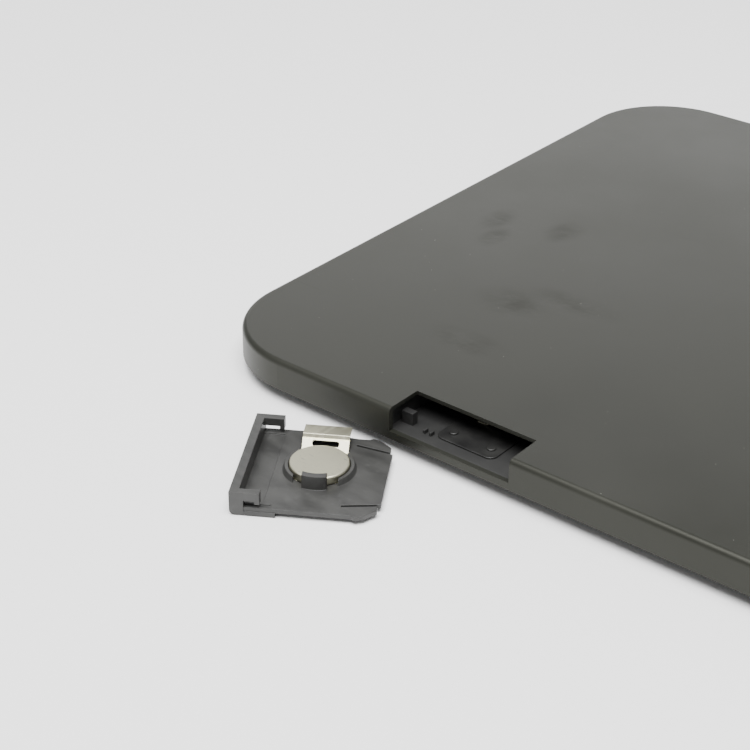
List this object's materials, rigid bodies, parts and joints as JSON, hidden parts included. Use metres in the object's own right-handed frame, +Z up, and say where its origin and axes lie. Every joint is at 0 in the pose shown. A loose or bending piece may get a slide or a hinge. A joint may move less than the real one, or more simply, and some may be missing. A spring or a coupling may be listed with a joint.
{
  "type": "digital bathroom scale",
  "caption": "Slim square black bathroom scale with rounded corners, corner feet over load cells, a flush display and a pull-out coin cell tray lying beside its slot.",
  "frame": {"origin": "centre of the platform's top face", "axes": "+Z up out of the platform, -Y towards the edge with the battery slot, +Y towards the display"},
  "size_m": [0.3, 0.3614, 0.0165],
  "materials": {
    "case_black": "satin",
    "base_black": "matte",
    "tray_black": "satin",
    "label_film": "satin",
    "zinc_steel": "satin",
    "nickel": "polished",
    "board_black": "satin",
    "window_smoke": "polished",
    "lcd": "polished",
    "pad_rubber": "matte",
    "plate_black": "satin",
    "chip_black": "matte",
    "button_grey": "matte",
    "wire_red": "satin",
    "wire_grey": "satin",
    "cell_steel": "satin",
    "seal": "matte"
  },
  "bodies": {
    "housing": {"platform_cover": "case_black", "stiffening_plate": "zinc_steel", "base_cover": "base_black", "base_screws": "zinc_steel", "battery_bay": "base_black", "contact_plate": "plate_black", "contact_studs": "plate_black", "bay_springs": "nickel", "load_cell_bracket_1": "base_black", "load_cell_bracket_2": "base_black", "load_cell_bracket_3": "base_black", "load_cell_bracket_4": "base_black", "load_cell_1": "zinc_steel", "load_cell_2": "zinc_steel", "load_cell_3": "zinc_steel", "load_cell_4": "zinc_steel", "load_cell_wires_1": "wire_grey", "load_cell_wires_2": "wire_grey", "load_cell_wires_3": "wire_grey", "load_cell_wires_4": "wire_grey", "display_window": "window_smoke", "lcd_frame": "base_black", "lcd_glass": "lcd", "zebra_strips": "pad_rubber", "circuit_board": "board_black", "board_components": "chip_black", "board_screws": "zinc_steel", "rating_plate": "label_film", "battery_wires": "wire_red", "foot_1": "base_black", "foot_2": "base_black", "foot_3": "base_black", "foot_4": "base_black", "foot_pad_1": "pad_rubber", "foot_pad_2": "pad_rubber", "foot_pad_3": "pad_rubber", "foot_pad_4": "pad_rubber"},
    "battery_tray": {"battery_tray": "tray_black", "contact_strip": "nickel"},
    "coin_cell": {"coin_cell_can": "cell_steel", "coin_cell_gasket": "seal", "coin_cell_cap": "cell_steel"},
    "unit_button": {"unit_button": "button_grey"}
  },
  "joints": [
    {"name": "battery_tray_turn", "type": "hinge", "parent": "housing", "child": "battery_tray", "pos_m": [-0.07018, -0.21577, -0.00825], "axis": [0.4879, 0.8729, 0], "range_deg": [0, 180]},
    {"name": "coin_cell_lift", "type": "slide", "parent": "battery_tray", "child": "coin_cell", "axis": [0, 0, 1], "range_m": [0, 0.01]},
    {"name": "unit_button_press", "type": "slide", "parent": "housing", "child": "unit_button", "axis": [0, 0, 1], "range_m": [0, 0.0004], "stiffness_N_per_m": 300}
  ]
}
